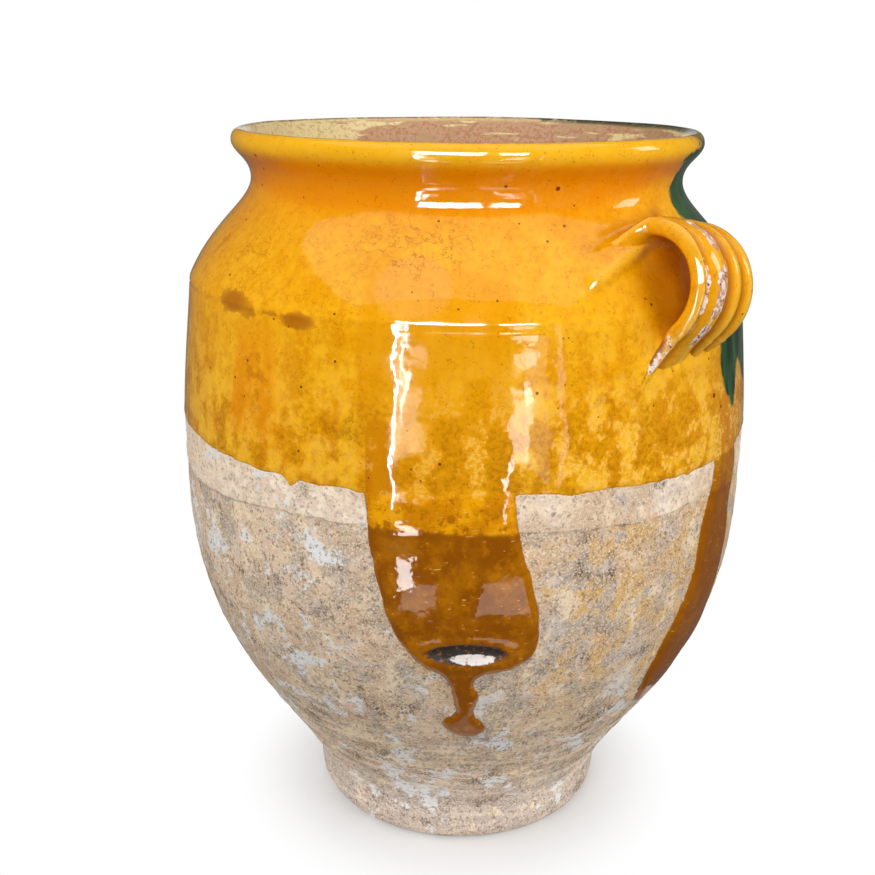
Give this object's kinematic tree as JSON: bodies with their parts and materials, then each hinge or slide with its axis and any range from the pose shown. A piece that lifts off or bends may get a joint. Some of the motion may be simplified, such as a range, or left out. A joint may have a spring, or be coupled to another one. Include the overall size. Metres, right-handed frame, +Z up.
{
  "type": "confit pot",
  "caption": "Thrown earthenware confit pot, glazed yellow on its upper part with amber runs over bare clay, with a rolled lip and ribbed strap handles on the shoulder.",
  "frame": {"origin": "middle of the flat base, on the surface the pot stands on", "axes": "+Z up through the mouth; +X from the middle through the handle that the picture shows in full, the second handle on -X; the pictured side with the broad glaze run lies between -Y and +X"},
  "size_m": [0.2792, 0.2572, 0.32],
  "materials": {
    "glazed_earthenware": "gloss"
  },
  "bodies": {
    "root": {"pot": "glazed_earthenware"}
  },
  "joints": []
}
